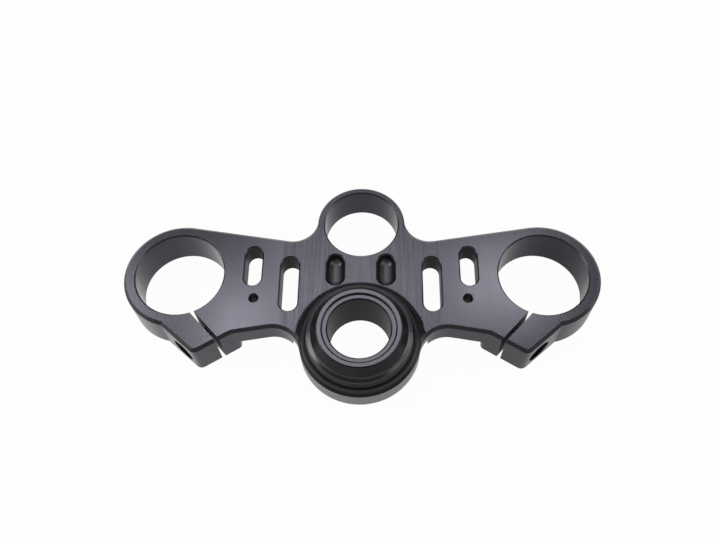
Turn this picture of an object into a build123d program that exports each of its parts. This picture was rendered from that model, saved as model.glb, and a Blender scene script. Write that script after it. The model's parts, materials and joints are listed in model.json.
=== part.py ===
from build123d import *
from math import cos, radians, sin, sqrt, tan
import os

os.makedirs("parts", exist_ok=True)

# Upper triple clamp of a motorcycle, milled from one aluminium billet.
# Millimetres. Z runs up the steering stem, Y points to the front wheel, X to the rider's right.
# The origin is on the stem axis, in the face that seats on the stem's shoulder.

# Plate, heights measured down from its top face
plate_top = 8.6                 # top face above the stem seat
web_thickness = 14.0
edge_chamfer = 1.8              # around the plate's top edge
foot_chamfer = 0.8              # around the lower edges
mouth_chamfer = 0.8             # at the mouths of bores, slots and troughs
far_edge_slope = 9.1            # degrees, front edge of the web
near_edge_slope = 9.5           # degrees, rear edge of the web
far_blend_radius = 14.5         # front edge into the lock ring
near_blend_radius = 15.7        # rear edge into the stem boss

# Fork clamps
fork_spacing = 204.0
fork_offset = 41.2              # fork axes ahead of the stem axis
fork_bore = 50.0
clamp_wall = 6.8
clamp_depth = 24.0

# Pinch ears, faces set by their distance from the fork axis
ear_side_angle = 40.8           # degrees, outer face against X
ear_side_reach = 28.1
ear_end_angle = 31.5            # degrees, rear face against X
ear_end_reach = 47.5
ear_end_length = 22.8           # rear face, from the outer corner to the web's edge
ear_corner_radius = 4.0
ear_root_radius = 8.0
foot_step = 3.2                 # rear face runs on below the web
foot_corner_radius = 3.0
slit_width = 2.2
slit_angle = 47.0               # degrees, slit against X
slit_offset = 9.1               # slit's centre line from the fork axis

# Pinch bolts, M8, square to the slit
bolt_wall = 8.0                 # bolt axis from the fork bore, along the slit
bolt_drop = 13.0                # bolt axis below the top face
bolt_clearance = 8.5
bolt_tap = 6.8
bolt_thread_depth = 15.0
bolt_head_bore = 14.5
bolt_grip = 8.0                 # metal under the bolt's head

# Ring for the ignition lock
lock_offset = 74.5              # ring axis ahead of the stem axis
lock_bore = 42.4
lock_wall = 3.9
lock_depth = 21.5
lock_chamfer = 0.9

# Stem boss, a turned profile: each radius is set from the one inside it, each height from the one below
stem_bore = 33.0
nut_ledge = 2.6                 # seat of the stem nut around the bore
nut_recess_depth = 1.2
nut_recess_chamfer = 0.9
crown_land = 3.2                # flat rim around the nut's recess
crown_chamfer = 0.4
cone_run = 3.5                  # cone below the crown
cone_rise = 5.95
flare_run = 2.2                 # flatter foot of the cone
flare_rise = 1.2
flare_round = 2.0               # between cone and flare
shoulder_round = 0.8            # between flare and collar
collar_run = 1.4                # leaning wall below the flare
collar_rise = 4.6
step_ledge = 1.2
step_run = 0.6                  # leaning wall below the ledge
step_rise = 2.1
rim_chamfer = 1.4
cove_radius = 3.5               # hollow between plate and boss
boss_foot_chamfer = 1.2
seat_margin = 4.9               # room under the plate for a lock nut, past the boss

# Slots through the web, along Y
short_slot_length = 24.5
short_slot_width = 9.6
short_slot_gap = 4.7            # metal between the slot and the fork clamp
short_slot_front_gap = 8.0      # slot's front end behind the web's front edge
long_slot_inset = 20.85         # long slot inboard of the short one
long_slot_width = 10.1
long_slot_front_gap = 11.2
long_slot_seat_gap = 3.75       # metal between the slot's rear end and the seat's recess
long_slot_rear_gap = 6.0        # least metal between the slot and the web's rear edge

# Blind troughs between boss and lock ring
trough_x = 14.25
trough_width = 9.8
trough_depth = 5.8
trough_floor = 0.6              # flat strip between the rounded sides
trough_boss_gap = 1.0           # flat between the boss's hollow and the trough
trough_lock_gap = 3.2           # metal between the trough and the lock's bore

# Threaded holes for a bracket, M6
bracket_hole_tap = 5.0
bracket_hole_chamfer = 0.5
bracket_hole_gap = 8.1          # hole's axis behind the short slot
bracket_hole_inset = 1.5        # hole's axis inboard of the short slot's

sides = (1, -1)
stem_axis = Vector(0, 0)
fork_axis = Vector(fork_spacing / 2, fork_offset)
lock_axis = Vector(0, lock_offset)
clamp_radius = fork_bore / 2 + clamp_wall
lock_radius = lock_bore / 2 + lock_wall
web_bottom = plate_top - web_thickness
clamp_bottom = plate_top - clamp_depth
top_plane = Plane.XY.offset(plate_top)

# Turned radii and heights of the boss
nut_recess_radius = stem_bore / 2 + nut_ledge
crown_radius = nut_recess_radius + crown_land
flare_radius = crown_radius + cone_run
shoulder_radius = flare_radius + flare_run
collar_radius = shoulder_radius + collar_run
step_radius = collar_radius + step_ledge
rim_radius = step_radius + step_run
boss_radius = rim_radius + rim_chamfer
seat_recess_radius = boss_radius + seat_margin
cove_top = plate_top + cove_radius
rim_top = cove_top + rim_chamfer
step_top = rim_top + step_rise
shoulder_top = step_top + collar_rise
flare_top = shoulder_top + flare_rise
crown_top = flare_top + cone_rise


def heading(angle):
    """Unit vector in the plate's plane, at an angle in degrees from X."""
    return Vector(cos(radians(angle)), sin(radians(angle)))


def faces_meet(normal_a, reach_a, normal_b, reach_b):
    """Where two upright faces meet, each set by its normal's angle and its distance from an axis."""
    a = heading(normal_a)
    b = heading(normal_b)
    turn = a.X * b.Y - a.Y * b.X
    return Vector(reach_a * b.Y - reach_b * a.Y, reach_b * a.X - reach_a * b.X) * (1 / turn)


def tangent_point(point, centre, radius):
    """Where the line from a point touches a circle, on the circle's side towards the stem."""
    out = point - centre
    unit = out.normalized()
    along = radius * radius / out.length
    across = radius * sqrt(1 - (radius / out.length) ** 2)
    return centre + unit * along + Vector(unit.Y, -unit.X) * across


def height_on_circle(radius, x):
    """Distance ahead of its centre at which a circle is x to one side."""
    return sqrt(max(radius ** 2 - x ** 2, 0))


def front_edge(x):
    """Where the straight front edge of the web is, x to one side of the stem."""
    return far_middle.Y + x * tan(radians(far_edge_slope))


def rear_edge(x):
    """Where the straight rear edge of the web is, x to one side of the stem."""
    return near_middle.Y - x * tan(radians(near_edge_slope))


def distance_in_plan(vertex, centre):
    return sqrt((vertex.X - centre.X) ** 2 + (vertex.Y - centre.Y) ** 2)


def on_circle(vertices, centre, radius):
    """Vertices of an outline that lie on one of its circles."""
    return [vertex for vertex in vertices if abs(distance_in_plan(vertex, centre) - radius) < 1e-3]


def nearest(vertices, point, side=1):
    """The vertex nearest a point of the right half, or of its mirror image."""
    target = Vector(side * point.X, point.Y)
    return min(vertices, key=lambda vertex: distance_in_plan(vertex, target))


def mouths(builder):
    """Edges of the last cut, without the upright ones."""
    return builder.edges(Select.LAST).filter_by(Axis.Z, reverse=True)


# Points of the right half of the outline
side_normal = ear_side_angle - 90
end_normal = -ear_end_angle - 90
far_normal = heading(90 + far_edge_slope)
end_heading = heading(180 - ear_end_angle)
ear_corner = fork_axis + faces_meet(side_normal, ear_side_reach, end_normal, ear_end_reach)
ear_root = ear_corner + end_heading * ear_end_length
foot_corner = ear_corner + end_heading * (ear_end_length + foot_step)
side_foot = fork_axis + heading(side_normal) * ear_side_reach
far_touch = fork_axis + far_normal * clamp_radius
far_middle = Vector(0, far_touch.Y - far_touch.X * tan(radians(far_edge_slope)))
near_middle = Vector(0, ear_root.Y + ear_root.X * tan(radians(near_edge_slope)))
foot_touch = tangent_point(foot_corner, fork_axis, clamp_radius)

# Arc from the front edge into the lock ring, which it also joins when the ring stands clear of the edge
blend_reach = clamp_radius + far_blend_radius - (lock_axis - fork_axis).dot(far_normal)
blend_run = height_on_circle(lock_radius + far_blend_radius, blend_reach)
blend_centre = lock_axis + far_normal * blend_reach + heading(far_edge_slope) * blend_run
blend_edge = blend_centre - far_normal * far_blend_radius
blend_ring = lock_axis + (blend_centre - lock_axis).normalized() * lock_radius
blend_middle = blend_centre + (blend_edge + blend_ring - blend_centre * 2).normalized() * far_blend_radius

# Slots, troughs and bracket holes of the right half
short_slot_x = fork_axis.X - clamp_radius - short_slot_gap - short_slot_width / 2
short_slot_y = front_edge(short_slot_x) - short_slot_front_gap - short_slot_length / 2
long_slot_x = short_slot_x - long_slot_inset
long_slot_front = front_edge(long_slot_x) - long_slot_front_gap - long_slot_width / 2
seat_clear = height_on_circle(seat_recess_radius + long_slot_seat_gap + long_slot_width / 2, long_slot_x)
edge_clear = rear_edge(long_slot_x) + long_slot_rear_gap + long_slot_width / 2
long_slot_rear = max(seat_clear, edge_clear)
trough_rear = height_on_circle(boss_radius + cove_radius + trough_boss_gap + trough_width / 2, trough_x)
trough_front = lock_offset - height_on_circle(lock_bore / 2 + trough_lock_gap + trough_width / 2, trough_x)
bracket_hole_x = short_slot_x - bracket_hole_inset
bracket_hole_y = short_slot_y - short_slot_length / 2 - bracket_hole_gap

# Slit and pinch bolt of the right ear
outward = heading(slit_angle - 90)
rearward = heading(slit_angle + 180)
slit_length = ear_end_reach + ear_corner_radius
slit_foot = fork_axis + outward * slit_offset
slit_middle = slit_foot + rearward * (slit_length / 2)
bolt_foot = slit_foot + rearward * (fork_bore / 2 + bolt_wall)

# Plate: lobes, ears and web as one outline with blended inner corners
with BuildPart() as plate:
    with BuildSketch(top_plane) as outline:
        with BuildLine():
            ThreePointArc(blend_ring, blend_middle, blend_edge)
            Polyline(
                blend_edge,
                far_touch,
                fork_axis,
                side_foot,
                ear_corner,
                ear_root,
                near_middle,
                lock_axis,
                blend_ring,
            )
        make_face()
        with Locations(fork_axis):
            Circle(clamp_radius)
        mirror(about=Plane.YZ)
        with Locations(Location((0, lock_offset), -90)):
            Circle(lock_radius)
        with Locations(Location((0, 0), 90)):
            Circle(boss_radius)
        fillet(on_circle(outline.vertices(), stem_axis, boss_radius), near_blend_radius)
        fillet([nearest(outline.vertices(), ear_corner, side) for side in sides], ear_corner_radius)
        fillet([nearest(outline.vertices(), ear_root, side) for side in sides], ear_root_radius)
    extrude(amount=-web_thickness)
    chamfer(plate.faces().sort_by(Axis.Z)[-1].outer_wire().edges(), edge_chamfer)
    chamfer(plate.faces().sort_by(Axis.Z)[0].outer_wire().edges(), foot_chamfer)
top_face = plate.faces().sort_by(Axis.Z)[-1]

# Hollow between the plate and the boss, which stops at the plate's chamfer
with BuildPart() as cove:
    with BuildSketch(Plane.XZ):
        with BuildLine():
            Line((boss_radius, cove_top), (boss_radius, plate_top))
            Line((boss_radius, plate_top), (boss_radius + cove_radius, plate_top))
            CenterArc((boss_radius + cove_radius, cove_top), cove_radius, 180, 90)
        make_face()
    revolve(axis=Axis.Z)
    extrude(to_extrude=top_face, amount=cove_radius, dir=(0, 0, 1), mode=Mode.INTERSECT)

# Ring for the ignition lock
with BuildPart() as lock_ring:
    with BuildSketch(top_plane):
        with Locations(lock_axis):
            Circle(lock_radius)
    extrude(amount=-lock_depth)
    chamfer(lock_ring.edges().sort_by(Axis.Z)[-1], lock_chamfer)
    chamfer(lock_ring.edges().sort_by(Axis.Z)[0], foot_chamfer)

# Fork clamps below the web, each with its ear
with BuildPart() as clamp_feet:
    with BuildSketch(Plane.XY.offset(clamp_bottom)) as foot:
        with BuildLine():
            Polyline(fork_axis, side_foot, ear_corner, foot_corner, foot_touch, close=True)
        make_face()
        with Locations(fork_axis):
            Circle(clamp_radius)
        fillet(nearest(foot.vertices(), ear_corner, 1), ear_corner_radius)
        fillet(nearest(foot.vertices(), foot_corner, 1), foot_corner_radius)
        mirror(about=Plane.YZ)
    extrude(amount=clamp_depth - web_thickness / 2)
    for foot_face in clamp_feet.faces().filter_by(Plane.XY).group_by(Axis.Z)[0]:
        chamfer(foot_face.outer_wire().edges(), foot_chamfer)

# The clamp: plate, feet, ring and boss, then the bores and cuts
with BuildPart() as top_clamp:
    add(plate.part)
    with BuildSketch(Plane.XY.offset(web_bottom)):
        Circle(seat_recess_radius)
    extrude(amount=-web_bottom, mode=Mode.SUBTRACT)
    add(clamp_feet.part)
    add(lock_ring.part)
    with BuildSketch(Plane.XZ) as boss_profile:
        with BuildLine():
            Polyline(
                (0, 0),
                (boss_radius, 0),
                (boss_radius, cove_top),
                (rim_radius, rim_top),
                (step_radius, step_top),
                (collar_radius, step_top),
                (shoulder_radius, shoulder_top),
                (flare_radius, flare_top),
                (crown_radius, crown_top),
                (0, crown_top),
                close=True,
            )
        make_face()
        fillet(nearest(boss_profile.vertices(), Vector(shoulder_radius, shoulder_top)), shoulder_round)
        fillet(nearest(boss_profile.vertices(), Vector(flare_radius, flare_top)), flare_round)
        chamfer(nearest(boss_profile.vertices(), Vector(crown_radius, crown_top)), crown_chamfer)
    revolve(axis=Axis.Z)
    add(cove.part)
    seat_edges = top_clamp.edges().filter_by(GeomType.CIRCLE).filter_by_position(Axis.Z, 0, 0)
    chamfer(seat_edges.filter_by(lambda edge: edge.center().Y < 0), boss_foot_chamfer)

    # Bores
    with BuildSketch(top_plane):
        with Locations(fork_axis):
            Circle(fork_bore / 2)
        mirror(about=Plane.YZ)
    extrude(amount=-clamp_depth, mode=Mode.SUBTRACT)
    chamfer(mouths(top_clamp), mouth_chamfer)
    with BuildSketch(top_plane):
        with Locations(lock_axis):
            Circle(lock_bore / 2)
    extrude(amount=-lock_depth, mode=Mode.SUBTRACT)
    chamfer(mouths(top_clamp), mouth_chamfer)
    with BuildSketch(Plane.XY.offset(crown_top)):
        Circle(nut_recess_radius)
    extrude(amount=-nut_recess_depth, mode=Mode.SUBTRACT)
    chamfer(mouths(top_clamp).sort_by(Axis.Z)[-1], nut_recess_chamfer)
    with BuildSketch(Plane.XY):
        Circle(stem_bore / 2)
    extrude(amount=crown_top, mode=Mode.SUBTRACT)
    chamfer(mouths(top_clamp).sort_by(Axis.Z)[-1], mouth_chamfer)

    # Slots through the web, then the blind troughs ahead of the boss
    with BuildSketch(top_plane):
        with Locations((long_slot_x, (long_slot_front + long_slot_rear) / 2)):
            SlotCenterToCenter(long_slot_front - long_slot_rear, long_slot_width, rotation=90)
        with Locations((short_slot_x, short_slot_y)):
            SlotOverall(short_slot_length, short_slot_width, rotation=90)
        mirror(about=Plane.YZ)
    extrude(amount=-web_thickness, mode=Mode.SUBTRACT)
    chamfer(mouths(top_clamp), mouth_chamfer)
    with BuildSketch(top_plane):
        with Locations((trough_x, (trough_front + trough_rear) / 2)):
            SlotCenterToCenter(trough_front - trough_rear, trough_width, rotation=90)
        mirror(about=Plane.YZ)
    extrude(amount=-trough_depth, mode=Mode.SUBTRACT)
    trough_edges = mouths(top_clamp).group_by(Axis.Z)
    fillet(trough_edges[0], (trough_width - trough_floor) / 2)
    chamfer(trough_edges[-1], mouth_chamfer)

    # Bracket holes
    with BuildSketch(top_plane):
        with Locations((bracket_hole_x, bracket_hole_y)):
            Circle(bracket_hole_tap / 2)
        mirror(about=Plane.YZ)
    extrude(amount=-web_thickness, mode=Mode.SUBTRACT)
    chamfer(mouths(top_clamp).group_by(Axis.Z)[-1], bracket_hole_chamfer)

    # Slits, then the pinch bolts' holes: clearance and head outside, thread inside
    with BuildSketch(top_plane):
        with Locations(Location((slit_middle.X, slit_middle.Y), slit_angle)):
            Rectangle(slit_length, slit_width)
        mirror(about=Plane.YZ)
    extrude(amount=-clamp_depth, mode=Mode.SUBTRACT)
    for side in sides:
        bolt_point = (side * bolt_foot.X, bolt_foot.Y, plate_top - bolt_drop)
        bolt_plane = Plane(bolt_point, z_dir=(side * outward.X, outward.Y, 0))
        with BuildSketch(bolt_plane):
            Circle(bolt_clearance / 2)
        extrude(amount=clamp_radius, mode=Mode.SUBTRACT)
        with BuildSketch(bolt_plane.offset(slit_width / 2 + bolt_grip)):
            Circle(bolt_head_bore / 2)
        extrude(amount=clamp_radius, mode=Mode.SUBTRACT)
        with BuildSketch(bolt_plane):
            Circle(bolt_tap / 2)
        extrude(amount=-slit_width / 2 - bolt_thread_depth, mode=Mode.SUBTRACT)

top_clamp.part.label = "top_clamp"
export_step(top_clamp.part, "parts/top_clamp.step")
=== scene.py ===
import json
import math
import bmesh
import bpy
from mathutils import Matrix, Vector
from mathutils.bvhtree import BVHTree


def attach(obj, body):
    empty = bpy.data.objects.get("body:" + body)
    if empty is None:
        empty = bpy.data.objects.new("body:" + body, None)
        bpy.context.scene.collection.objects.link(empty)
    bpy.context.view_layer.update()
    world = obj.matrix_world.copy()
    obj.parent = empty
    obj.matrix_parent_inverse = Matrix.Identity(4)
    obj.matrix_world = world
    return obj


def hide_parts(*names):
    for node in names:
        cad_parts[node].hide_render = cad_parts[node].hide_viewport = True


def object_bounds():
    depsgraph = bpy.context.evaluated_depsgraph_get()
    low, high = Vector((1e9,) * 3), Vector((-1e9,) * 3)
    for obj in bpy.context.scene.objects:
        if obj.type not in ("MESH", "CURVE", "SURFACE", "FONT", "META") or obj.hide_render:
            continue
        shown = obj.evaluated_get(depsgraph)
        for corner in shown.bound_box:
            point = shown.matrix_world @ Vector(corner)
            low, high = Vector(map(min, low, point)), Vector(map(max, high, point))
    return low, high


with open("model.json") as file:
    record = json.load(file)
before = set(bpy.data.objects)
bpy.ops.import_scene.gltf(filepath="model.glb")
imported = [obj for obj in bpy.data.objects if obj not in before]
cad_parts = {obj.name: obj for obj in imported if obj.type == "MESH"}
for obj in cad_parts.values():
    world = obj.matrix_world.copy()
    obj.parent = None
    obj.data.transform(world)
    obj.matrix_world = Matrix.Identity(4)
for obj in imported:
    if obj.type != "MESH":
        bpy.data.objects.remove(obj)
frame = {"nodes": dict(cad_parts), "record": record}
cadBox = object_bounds()
scene = bpy.context.scene
scene.view_settings.view_transform = "Standard"
mounts = {mount["name"]: mount for mount in frame["record"]["mounts"]}
mmPerMetre = 1000.0
print("frame loaded:", sorted(frame["nodes"]))


def addNode(tree, kind, **values):
    node = tree.nodes.new(kind)
    for name, value in values.items():
        setattr(node, name, value)
    return node


def feed(tree, socket, value):  # links another node's output, or sets a plain value
    if isinstance(value, bpy.types.NodeSocket):
        tree.links.new(value, socket)
    else:
        socket.default_value = value


def addMath(tree, operation, *values):
    node = addNode(tree, "ShaderNodeMath", operation=operation)
    for socket, value in zip(node.inputs, values):
        feed(tree, socket, value)
    return node.outputs[0]


def addRange(tree, value, fromLow, fromHigh, toLow=0.0, toHigh=1.0):
    node = addNode(tree, "ShaderNodeMapRange", clamp=True)
    tree.links.new(value, node.inputs["Value"])
    limits = {"From Min": fromLow, "From Max": fromHigh, "To Min": toLow, "To Max": toHigh}
    for name, limit in limits.items():
        node.inputs[name].default_value = limit
    return node.outputs["Result"]


def addGrain(tree, vector, grain):  # noise with its contrast raised
    node = addNode(tree, "ShaderNodeTexNoise", noise_dimensions="3D")
    node.inputs["Scale"].default_value = grain.get("scale", 1.0)
    node.inputs["Detail"].default_value = grain["detail"]
    node.inputs["Roughness"].default_value = grain["roughness"]
    tree.links.new(vector, node.inputs["Vector"])
    return addRange(tree, node.outputs["Fac"], *grain["contrast"], *grain.get("levels", (0.0, 1.0)))


def splitAxes(tree, vector):
    node = addNode(tree, "ShaderNodeSeparateXYZ")
    tree.links.new(vector, node.inputs[0])
    return node.outputs


def joinAxes(tree, *values):
    node = addNode(tree, "ShaderNodeCombineXYZ")
    for socket, value in zip(node.inputs, values):
        feed(tree, socket, value)
    return node.outputs[0]


def stretch(tree, vector, *amounts):  # each axis by its own amount
    node = addNode(tree, "ShaderNodeVectorMath", operation="MULTIPLY")
    tree.links.new(vector, node.inputs[0])
    tree.links.new(joinAxes(tree, *amounts), node.inputs[1])
    return node.outputs[0]


def mixColours(tree, factor, first, second):
    node = addNode(tree, "ShaderNodeMix", data_type="RGBA", blend_type="MIX")
    tree.links.new(factor, node.inputs["Factor"])
    for name, colour in (("A", first), ("B", second)):
        socket = next(s for s in node.inputs if s.name == name and s.type == "RGBA")
        feed(tree, socket, (*colour, 1.0) if isinstance(colour, tuple) else colour)
    return next(s for s in node.outputs if s.type == "RGBA")


def startGroup(name, output, **sizes):  # takes a place and sizes in mm, and gives one mask
    group = bpy.data.node_groups.new(name, "ShaderNodeTree")
    group.interface.new_socket("Vector", in_out="INPUT", socket_type="NodeSocketVector")
    for sizeName, size in sizes.items():
        socket = group.interface.new_socket(sizeName, in_out="INPUT", socket_type="NodeSocketFloat")
        socket.default_value = size
    group.interface.new_socket(output, in_out="OUTPUT", socket_type="NodeSocketFloat")
    return group, group.nodes.new("NodeGroupInput").outputs, group.nodes.new("NodeGroupOutput").inputs


effectSetup = {
    "cutterLines": {"detail": 3.0, "roughness": 0.6, "contrast": (0.3, 0.7)},
    "turnedRings": {"detail": 2.0, "roughness": 0.6, "contrast": (0.3, 0.7)},
    "ringPatches": {  # where the rings fade
        "scale": 60.0, "detail": 2.0, "roughness": 0.5, "contrast": (0.35, 0.65), "levels": (0.55, 1.0),
    },
    "feedLines": {"detail": 2.0, "roughness": 0.55, "contrast": (0.3, 0.7), "waver": 25.0},
    "dyeHaze": {"detail": 4.0, "roughness": 0.55, "contrast": (0.32, 0.68)},
    "edgeRubAndHighlight": {"samples": 6, "turnedAway": (0.995, 0.93)},  # cosines from an untouched face to a fully lightened edge
    "rubBreaks": {
        "scale": 220.0, "detail": 3.0, "roughness": 0.6, "contrast": (0.35, 0.65), "levels": (0.3, 1.0),
    },
}


def makeCutterLines():  # straight marks that a milling cutter leaves along Y
    group, given, result = startGroup("cutterLines", "Lines", Pitch=0.5, Run=60.0)
    across = addMath(group, "DIVIDE", mmPerMetre, given["Pitch"])
    along = addMath(group, "DIVIDE", mmPerMetre, given["Run"])
    drawn = stretch(group, given["Vector"], across, along, along)
    group.links.new(addGrain(group, drawn, effectSetup["cutterLines"]), result["Lines"])
    return group


def makeTurnedRings():  # marks that a lathe tool leaves round the stem axis
    group, given, result = startGroup("turnedRings", "Rings", Pitch=0.4)
    axes = splitAxes(group, given["Vector"])
    squares = [addMath(group, "POWER", axes[name], 2.0) for name in ("X", "Y")]
    radius = addMath(group, "SQRT", addMath(group, "ADD", *squares))
    profile = joinAxes(group, radius, 0.0, axes["Z"])
    closeness = addMath(group, "DIVIDE", mmPerMetre, given["Pitch"])
    drawn = stretch(group, profile, closeness, closeness, closeness)
    rings = addGrain(group, drawn, effectSetup["turnedRings"])
    patches = addGrain(group, given["Vector"], effectSetup["ringPatches"])
    group.links.new(addMath(group, "MULTIPLY", rings, patches), result["Rings"])
    return group


def makeFeedLines():  # level marks that run round the bored and side-milled walls
    group, given, result = startGroup("feedLines", "Lines", Pitch=0.4)
    setup = effectSetup["feedLines"]
    closeness = addMath(group, "DIVIDE", mmPerMetre, given["Pitch"])
    drawn = stretch(group, given["Vector"], setup["waver"], setup["waver"], closeness)
    group.links.new(addGrain(group, drawn, setup), result["Lines"])
    return group


def makeDyeHaze():  # uneven dye and faint handling haze in the anodised skin
    group, given, result = startGroup("dyeHaze", "Haze", Size=25.0)
    closeness = addMath(group, "DIVIDE", mmPerMetre, given["Size"])
    drawn = stretch(group, given["Vector"], closeness, closeness, closeness)
    group.links.new(addGrain(group, drawn, effectSetup["dyeHaze"]), result["Haze"])
    return group


def makeEdgeRubAndHighlight():  # lighter edges: painted highlight along every edge, drawn as dye rubbed thin by handling
    group, given, result = startGroup("edgeRubAndHighlight", "RubAndHighlight", Width=0.4)
    setup = effectSetup["edgeRubAndHighlight"]
    rounded = addNode(group, "ShaderNodeBevel", samples=setup["samples"])
    group.links.new(addMath(group, "DIVIDE", given["Width"], mmPerMetre), rounded.inputs["Radius"])
    facing = addNode(group, "ShaderNodeVectorMath", operation="DOT_PRODUCT")
    group.links.new(rounded.outputs["Normal"], facing.inputs[0])
    group.links.new(addNode(group, "ShaderNodeNewGeometry").outputs["Normal"], facing.inputs[1])
    edge = addRange(group, facing.outputs["Value"], *setup["turnedAway"])
    breaks = addGrain(group, given["Vector"], effectSetup["rubBreaks"])
    group.links.new(addMath(group, "MULTIPLY", edge, breaks), result["RubAndHighlight"])
    return group


effects = {
    "cutterLines": makeCutterLines(),
    "turnedRings": makeTurnedRings(),
    "feedLines": makeFeedLines(),
    "dyeHaze": makeDyeHaze(),
    "edgeRubAndHighlight": makeEdgeRubAndHighlight(),
}
print("finish effects ready:", len(effects))

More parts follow.
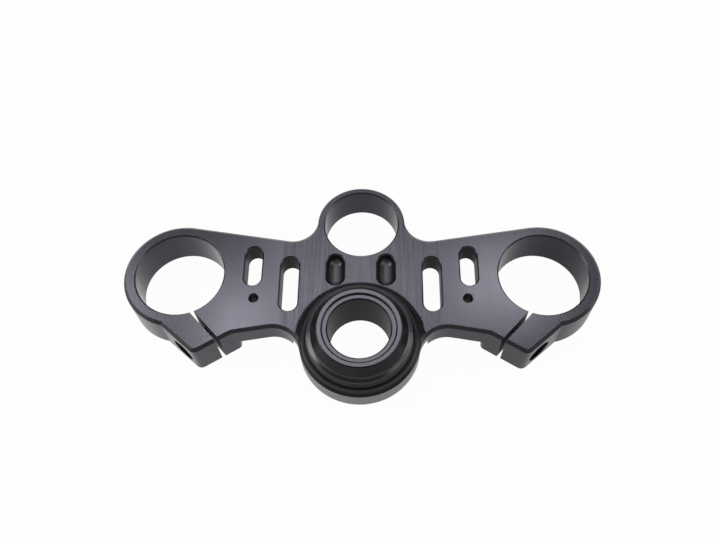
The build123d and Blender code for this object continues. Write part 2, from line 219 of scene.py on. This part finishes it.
finishes = {  # pitch, run, haze and edge rub-and-highlight sizes in mm, bump and pass sizes in metres
    "milledTop": {  # plate and ear tops, with the wide cutter pass down the middle
        "colour": (0.150, 0.146, 0.174), "markColour": (0.102, 0.099, 0.120),
        "rubAndHighlightColour": (0.26, 0.255, 0.28), "rubAndHighlightWidth": 0.3, "roughness": 0.20, "markRoughness": 0.10,
        "marks": "cutterLines", "pitch": 0.55, "run": 45.0, "markAmount": 0.16, "bump": 0.000012,
        "passAmount": 0.85, "passHalfWidth": 0.044, "passBlur": 0.0004,
        "hazeSize": 22.0, "hazeAmount": 0.10,
    },
    "turnedCrown": {  # crown ring, nut ledge and step round the stem bore
        "colour": (0.205, 0.201, 0.230), "markColour": (0.155, 0.151, 0.176),
        "rubAndHighlightColour": (0.28, 0.275, 0.29), "rubAndHighlightWidth": 0.3, "roughness": 0.30, "markRoughness": 0.08,
        "marks": "turnedRings", "pitch": 0.45, "markAmount": 0.6, "bump": 0.000010,
        "hazeSize": 14.0, "hazeAmount": 0.10,
    },
    "turnedConePaintedShade": {  # cone that rises to the crown, in a far darker tone than the plate: painted shade
        "colour": (0.034, 0.034, 0.036), "markColour": (0.018, 0.018, 0.019),
        "rubAndHighlightColour": (0.09, 0.09, 0.094), "rubAndHighlightWidth": 0.35, "roughness": 0.28, "markRoughness": 0.10,
        "marks": "turnedRings", "pitch": 0.8, "markAmount": 0.8, "bump": 0.000012,
        "hazeSize": 10.0, "hazeAmount": 0.12,
    },
    "turnedFlarePaintedHighlight": {  # flatter foot of the cone, down to the shoulder, in a lighter tone than the cone: painted highlight along the flare
        "colour": (0.078, 0.077, 0.081), "markColour": (0.055, 0.054, 0.057),
        "rubAndHighlightColour": (0.19, 0.19, 0.195), "rubAndHighlightWidth": 0.2, "roughness": 0.22, "markRoughness": 0.06,
        "marks": "turnedRings", "pitch": 0.3, "markAmount": 0.5, "bump": 0.000005,
        "hazeSize": 8.0, "hazeAmount": 0.25,
    },
    "turnedCollarPaintedShade": {  # collar, step, rim and cove of the stem boss, and the lips of the nut's recess and bore, in the darkest tone of the boss: painted shade
        "colour": (0.028, 0.027, 0.030), "markColour": (0.020, 0.019, 0.021),
        "rubAndHighlightColour": (0.09, 0.09, 0.095), "rubAndHighlightWidth": 0.3, "roughness": 0.28, "markRoughness": 0.10,
        "marks": "turnedRings", "pitch": 0.45, "markAmount": 0.7, "bump": 0.000010,
        "hazeSize": 10.0, "hazeAmount": 0.12,
    },
    "turnedFootPaintedLight": {  # wall round the foot of the boss, in a lighter tone than the collar above: painted light
        "colour": (0.150, 0.149, 0.152), "markColour": (0.110, 0.109, 0.112),
        "rubAndHighlightColour": (0.27, 0.27, 0.275), "rubAndHighlightWidth": 0.3, "roughness": 0.32, "markRoughness": 0.08,
        "marks": "turnedRings", "pitch": 0.5, "markAmount": 0.6, "bump": 0.000010,
        "hazeSize": 10.0, "hazeAmount": 0.15,
    },
    "boredWall": {  # fork and lock bores
        "colour": (0.046, 0.044, 0.056), "markColour": (0.033, 0.032, 0.041),
        "rubAndHighlightColour": (0.16, 0.155, 0.17), "rubAndHighlightWidth": 0.3, "roughness": 0.20, "markRoughness": 0.08,
        "marks": "feedLines", "pitch": 0.45, "markAmount": 0.6, "bump": 0.000010,
        "hazeSize": 12.0, "hazeAmount": 0.12,
    },
    "slotWall": {  # slots, bolt and bracket holes, stem bore: a darker tone than the outer walls, with less shine at low angles, is painted shade in these recesses
        "colour": (0.018, 0.018, 0.020), "markColour": (0.013, 0.013, 0.015), "edgeTint": 0.78,
        "rubAndHighlightColour": (0.08, 0.078, 0.083), "rubAndHighlightWidth": 0.3, "roughness": 0.36, "markRoughness": 0.08,
        "marks": "feedLines", "pitch": 0.6, "markAmount": 0.5, "bump": 0.000010,
        "hazeSize": 8.0, "hazeAmount": 0.12,
    },
    "troughWall": {  # blind troughs ahead of the boss
        "colour": (0.135, 0.132, 0.146), "markColour": (0.102, 0.100, 0.111),
        "rubAndHighlightColour": (0.15, 0.147, 0.16), "rubAndHighlightWidth": 0.3, "roughness": 0.31, "markRoughness": 0.06,
        "marks": "feedLines", "pitch": 0.6, "markAmount": 0.5, "bump": 0.000010,
        "hazeSize": 8.0, "hazeAmount": 0.12,
    },
    "cutWall": {  # outer walls of plate, ears and ring
        "colour": (0.052, 0.050, 0.060), "markColour": (0.040, 0.038, 0.046),
        "rubAndHighlightColour": (0.18, 0.177, 0.19), "rubAndHighlightWidth": 0.3, "roughness": 0.24, "markRoughness": 0.08,
        "marks": "feedLines", "pitch": 0.7, "markAmount": 0.5, "bump": 0.000010,
        "hazeSize": 12.0, "hazeAmount": 0.12,
    },
    "sawnSlitPaintedShade": {  # narrow saw cuts through the clamp ears, in a darker tone than the outer walls: painted shade in the cuts
        "colour": (0.034, 0.034, 0.038), "markColour": (0.026, 0.026, 0.029),
        "rubAndHighlightColour": (0.10, 0.10, 0.11), "rubAndHighlightWidth": 0.2, "roughness": 0.45, "markRoughness": 0.10,
        "marks": "feedLines", "pitch": 0.9, "markAmount": 0.6, "bump": 0.000015,
        "hazeSize": 8.0, "hazeAmount": 0.12,
    },
    "edgeChamfer": {  # bevelled edges of plate, ears and bores
        "colour": (0.050, 0.049, 0.056), "markColour": (0.039, 0.038, 0.044),
        "rubAndHighlightColour": (0.13, 0.127, 0.138), "rubAndHighlightWidth": 0.35, "roughness": 0.26, "markRoughness": 0.06,
        "marks": "feedLines", "pitch": 0.35, "markAmount": 0.4, "bump": 0.000006,
        "hazeSize": 9.0, "hazeAmount": 0.15,
    },
    "milledUnder": {  # underside of plate, ears and boss
        "colour": (0.135, 0.132, 0.154), "markColour": (0.105, 0.103, 0.122),
        "rubAndHighlightColour": (0.24, 0.235, 0.25), "rubAndHighlightWidth": 0.3, "roughness": 0.34, "markRoughness": 0.10,
        "marks": "cutterLines", "pitch": 0.6, "run": 40.0, "markAmount": 0.6, "bump": 0.000012,
        "hazeSize": 18.0, "hazeAmount": 0.10,
    },
}


def placeEffect(tree, name, vector, **sizes):
    node = addNode(tree, "ShaderNodeGroup", node_tree=effects[name])
    tree.links.new(vector, node.inputs["Vector"])
    for sizeName, size in sizes.items():
        node.inputs[sizeName].default_value = size
    return node.outputs[0]


def makeFinish(name, finish):
    material = bpy.data.materials.new(name)
    material.use_nodes = True
    tree = material.node_tree
    shader = tree.nodes["Principled BSDF"]
    shader.inputs["Metallic"].default_value = 1.0
    tint = finish.get("edgeTint", 1.0)  # how much of the shine at low angles is left
    shader.inputs["Specular Tint"].default_value = (tint, tint, tint, 1.0)
    place = addNode(tree, "ShaderNodeTexCoord").outputs["Object"]
    markSizes = {"Pitch": finish["pitch"]}
    if "run" in finish:
        markSizes["Run"] = finish["run"]
    marks = placeEffect(tree, finish["marks"], place, **markSizes)
    strength = finish["markAmount"]
    if "passHalfWidth" in finish:
        side = addMath(tree, "ABSOLUTE", splitAxes(tree, place)["X"])
        edge, blur = finish["passHalfWidth"], finish["passBlur"]
        amounts = finish["passAmount"], finish["markAmount"]
        strength = addRange(tree, side, edge - blur, edge + blur, *amounts)
    haze = placeEffect(tree, "dyeHaze", place, Size=finish["hazeSize"])
    rubAndHighlight = placeEffect(tree, "edgeRubAndHighlight", place, Width=finish["rubAndHighlightWidth"])
    worn = addMath(tree, "MULTIPLY", marks, strength)
    uneven = addMath(tree, "MULTIPLY", haze, finish["hazeAmount"])
    shade = addMath(tree, "ADD", worn, uneven)
    dyed = mixColours(tree, shade, finish["colour"], finish["markColour"])
    # lighter edges: painted edge highlight, together with dye rubbed thin
    tree.links.new(mixColours(tree, rubAndHighlight, dyed, finish["rubAndHighlightColour"]), shader.inputs["Base Color"])
    rough = addMath(tree, "MULTIPLY_ADD", shade, finish["markRoughness"], finish["roughness"])
    tree.links.new(rough, shader.inputs["Roughness"])
    bump = addNode(tree, "ShaderNodeBump")
    bump.inputs["Strength"].default_value = 1.0
    bump.inputs["Distance"].default_value = finish["bump"]
    tree.links.new(worn, bump.inputs["Height"])
    tree.links.new(bump.outputs["Normal"], shader.inputs["Normal"])
    return material


bodySetup = {
    "mergeGap": 1e-7,  # corners closer than this are one
    "flatTop": 0.97,  # a face's upward share from which it counts as level
    "slope": 0.25,  # and from which it counts as an edge chamfer
    "coneSlope": 0.35,  # and from which it counts as cone or flare on the boss
    "boreSlack": 0.0012,  # reach past a bore's radius that still counts as its wall
    "levelSlack": 0.0001,  # how far from the plate's top a face still lies in it
    "bossSlack": 0.00005,  # how far above the plate's top the boss begins
    "rayStart": 0.0001,  # lift off a wall before looking across a gap
    "slitGap": 0.0034,  # walls that face each other closer than this are saw cuts
    "slotGap": 0.040,  # and closer than this are slots and holes
    "sharpAngle": 12,  # edges that stay sharp if the solid's normals don't fit the copy
    "plateTop": 0.0086, "bossRadius": 0.0330, "coveRadius": 0.0385,
    "troughSide": (0.0088, 0.0197), "troughReach": (0.030, 0.0585), "troughDepth": (0.0020, 0.0079),
    "footTop": 0.0120, "shoulderFoot": 0.0190, "flareTop": 0.0218, "crownFloor": 0.0240,
    "lipRadius": 0.0204,
    "bores": {"fork_right": "boredWall", "fork_left": "boredWall", "lock": "boredWall", "stem": "slotWall"},
}


def findBores():
    found = []
    for name, finish in bodySetup["bores"].items():
        mount = mounts[name]
        found.append((Vector(mount["pos_m"][:2]), mount["dims"]["r_mm"] / mmPerMetre, finish))
    return found


def bossFinish(up, height, fromStem):
    if height > bodySetup["crownFloor"] and up > bodySetup["flatTop"]:
        return "turnedCrown"
    if fromStem < bodySetup["lipRadius"]:
        return "turnedCollarPaintedShade"  # lips of the nut's recess and the bore in the dark collar tone: painted shade
    if height > bodySetup["shoulderFoot"] and up > bodySetup["coneSlope"]:
        return "turnedFlarePaintedHighlight" if height < bodySetup["flareTop"] else "turnedConePaintedShade"
    return "turnedFootPaintedLight" if height < bodySetup["footTop"] and up < bodySetup["slope"] else "turnedCollarPaintedShade"


def inTrough(middle):
    spans = (("troughSide", abs(middle.x)), ("troughReach", middle.y), ("troughDepth", middle.z))
    return all(bodySetup[name][0] < value < bodySetup[name][1] for name, value in spans)


def finishOf(face, holes, walls):
    up, middle = face.normal.z, face.calc_center_median()
    fromStem = math.hypot(middle.x, middle.y)
    aboveTop = middle.z - bodySetup["plateTop"]
    steep = abs(up) < bodySetup["slope"]
    for centre, radius, finish in holes:
        if steep and (middle.xy - centre).length < radius + bodySetup["boreSlack"]:
            return finish
    if inTrough(middle):
        return "troughWall"
    if steep and fromStem > bodySetup["coveRadius"]:
        start = middle + face.normal * bodySetup["rayStart"]
        across = walls.ray_cast(start, face.normal, bodySetup["slotGap"])[3]
        if across is not None:
            return "sawnSlitPaintedShade" if across < bodySetup["slitGap"] else "slotWall"
    if up < -bodySetup["flatTop"]:
        return "milledUnder"
    onBoss = fromStem < bodySetup["coveRadius"] and aboveTop > bodySetup["bossSlack"]
    if onBoss or fromStem < bodySetup["bossRadius"]:
        return bossFinish(up, middle.z, fromStem)
    if up > bodySetup["flatTop"] and abs(aboveTop) < bodySetup["levelSlack"]:
        return "milledTop"
    return "cutWall" if steep else "edgeChamfer"


def makeBody():
    node = frame["nodes"]["top_clamp"]
    cornerNormals = [corner.vector.copy() for corner in node.data.corner_normals]
    mesh = bpy.data.meshes.new("clampBody")
    shape = bmesh.new()
    shape.from_mesh(node.data)
    bmesh.ops.remove_doubles(shape, verts=shape.verts, dist=bodySetup["mergeGap"])
    holes, walls, names, counts = findBores(), BVHTree.FromBMesh(shape), list(finishes), {}
    for face in shape.faces:
        finish = finishOf(face, holes, walls)
        counts[finish] = counts.get(finish, 0) + 1
        face.material_index = names.index(finish)
        face.smooth = True
    shape.to_mesh(mesh)
    shape.free()
    sameCorners = len(mesh.loops) == len(cornerNormals)
    if sameCorners:
        mesh.normals_split_custom_set(cornerNormals)  # the solid's own smooth normals
    else:
        mesh.set_sharp_from_angle(angle=math.radians(bodySetup["sharpAngle"]))
    for name in names:
        mesh.materials.append(makeFinish(name, finishes[name]))
    body = bpy.data.objects.new("clampBody", mesh)
    scene.collection.objects.link(body)
    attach(body, "root")
    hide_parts("top_clamp")
    print("body dressed:", counts, "normals kept:", sameCorners)


studio = {
    "floorSize": 30.0, "floorColour": 0.92, "floorGlow": 0.97,
    "mirrorGlowLeft": 0.95, "mirrorGlowRight": 0.50,  # painted light on the floor, seen only in reflections: brighter towards the main lamps on the left
    "mirrorReach": 0.12,  # and changes between these two sides of the stem
    "wallLight": 0.6, "ceilingLight": 0.2,
    "wallTop": 0.35, "ceilingEdge": 0.75,  # heights as the upward share of a ray
    "softboxes": {  # brightness is the face's own against white paper, turn is in degrees about Y
        "leftStrip": {"place": (-0.275, 0.46, 1.0), "size": (0.08, 0.18), "brightness": 4.4},
        "farLeftStrip": {"place": (-0.58, 0.47, 1.0), "size": (0.25, 0.24), "brightness": 2.6},
        "rightBox": {"place": (0.26, 0.56, 1.0), "size": (0.18, 0.15), "brightness": 3.35},
        "middleBox": {"place": (-0.055, 0.51, 1.0), "size": (0.33, 0.44), "brightness": 1.3},
        "overheadLeft": {"place": (-1.2, 0.08, 1.0), "size": (0.6, 0.6), "brightness": 3.4},
        "overheadRight": {"place": (0.88, -0.32, 1.0), "size": (0.5, 0.5), "brightness": 1.4},
        "overheadMiddle": {"place": (0.0, -0.05, 1.0), "size": (0.9, 0.4), "brightness": 0.8},
        "leftPanel": {"place": (-1.1, 0.17, 0.45), "size": (0.85, 0.58), "brightness": 2.2, "turn": -90},
        "leftNearPanel": {"place": (-1.1, -0.45, 0.25), "size": (0.45, 0.66), "brightness": 0.7, "turn": -90},
        "rightPanel": {"place": (1.1, 0.15, 0.45), "size": (0.85, 0.70), "brightness": 1.6, "turn": 90},
    },
}


def makeFloor():
    shape = bmesh.new()
    bmesh.ops.create_grid(shape, x_segments=1, y_segments=1, size=studio["floorSize"] / 2)
    bmesh.ops.translate(shape, verts=shape.verts, vec=(0, 0, cadBox[0][2]))
    mesh = bpy.data.meshes.new("studioFloor")
    shape.to_mesh(mesh)
    shape.free()
    material = bpy.data.materials.new("studioFloor")
    material.use_nodes = True
    tree = material.node_tree
    tree.nodes.remove(tree.nodes["Principled BSDF"])
    white = studio["floorColour"]
    paper = addNode(tree, "ShaderNodeBsdfDiffuse")
    paper.inputs["Color"].default_value = (white, white, white, 1)
    glow = addNode(tree, "ShaderNodeEmission")
    glow.inputs["Color"].default_value = (1, 1, 1, 1)
    path = addNode(tree, "ShaderNodeLightPath").outputs
    seen = addMath(tree, "MULTIPLY", path["Is Camera Ray"], studio["floorGlow"])
    side = splitAxes(tree, addNode(tree, "ShaderNodeTexCoord").outputs["Object"])["X"]
    reach, levels = studio["mirrorReach"], (studio["mirrorGlowLeft"], studio["mirrorGlowRight"])
    # painted light: the floor's glow in reflections falls off from left to right
    paintedFloorLight = addRange(tree, side, -reach, reach, *levels)
    mirrored = addMath(tree, "MAXIMUM", path["Is Glossy Ray"], path["Is Transmission Ray"])
    mirrored = addMath(tree, "MULTIPLY", mirrored, paintedFloorLight)
    mix = addNode(tree, "ShaderNodeMixShader")
    tree.links.new(addMath(tree, "MAXIMUM", seen, mirrored), mix.inputs["Fac"])
    tree.links.new(paper.outputs[0], mix.inputs[1])
    tree.links.new(glow.outputs[0], mix.inputs[2])
    tree.links.new(mix.outputs[0], tree.nodes["Material Output"].inputs["Surface"])
    mesh.materials.append(material)
    floor = bpy.data.objects.new("studioFloor", mesh)
    scene.collection.objects.link(floor)


def makeRoom():
    world = bpy.data.worlds.new("studioRoom")
    scene.world = world
    world.use_nodes = True
    tree = world.node_tree
    room = tree.nodes["Background"]
    room.inputs["Color"].default_value = (1, 1, 1, 1)
    height = splitAxes(tree, addNode(tree, "ShaderNodeTexCoord").outputs["Generated"])["Z"]
    limits = ("wallTop", "ceilingEdge", "wallLight", "ceilingLight")
    shade = addRange(tree, height, *(studio[name] for name in limits))
    seen = addNode(tree, "ShaderNodeLightPath").outputs["Is Camera Ray"]
    tree.links.new(addMath(tree, "MAXIMUM", shade, seen), room.inputs["Strength"])


def makeLights():
    for name, box in studio["softboxes"].items():
        wide, deep = box["size"]
        lamp = bpy.data.lights.new(name, "AREA")
        lamp.shape = "RECTANGLE"
        lamp.size, lamp.size_y = wide, deep
        lamp.energy = box["brightness"] * math.pi * wide * deep  # watts that give the face that brightness
        holder = bpy.data.objects.new(name, lamp)
        holder.location = box["place"]
        holder.rotation_euler = (0, math.radians(box.get("turn", 0)), 0)
        scene.collection.objects.link(holder)


cameraSetup = {
    "place": (0.00998, -0.16745, 0.39115), "target": (-0.0014931, 0.0437451, 0.0086),
    "roll": -2.723, "lens": 39.118, "sensor": 36.0, "clip": (0.01, 100.0),
}


def makeCamera():
    lens = bpy.data.cameras.new("photoCamera")
    lens.sensor_fit = "HORIZONTAL"
    lens.sensor_width = cameraSetup["sensor"]
    lens.lens = cameraSetup["lens"]
    lens.clip_start, lens.clip_end = cameraSetup["clip"]
    camera = bpy.data.objects.new("photoCamera", lens)
    place = Vector(cameraSetup["place"])
    look = (Vector(cameraSetup["target"]) - place).to_track_quat("-Z", "Y").to_matrix()
    turn = look @ Matrix.Rotation(math.radians(cameraSetup["roll"]), 3, "Z")
    camera.matrix_world = Matrix.Translation(place) @ turn.to_4x4()
    scene.collection.objects.link(camera)
    scene.camera = camera


makeBody()
makeFloor()
makeRoom()
makeLights()
makeCamera()
print("studio ready")
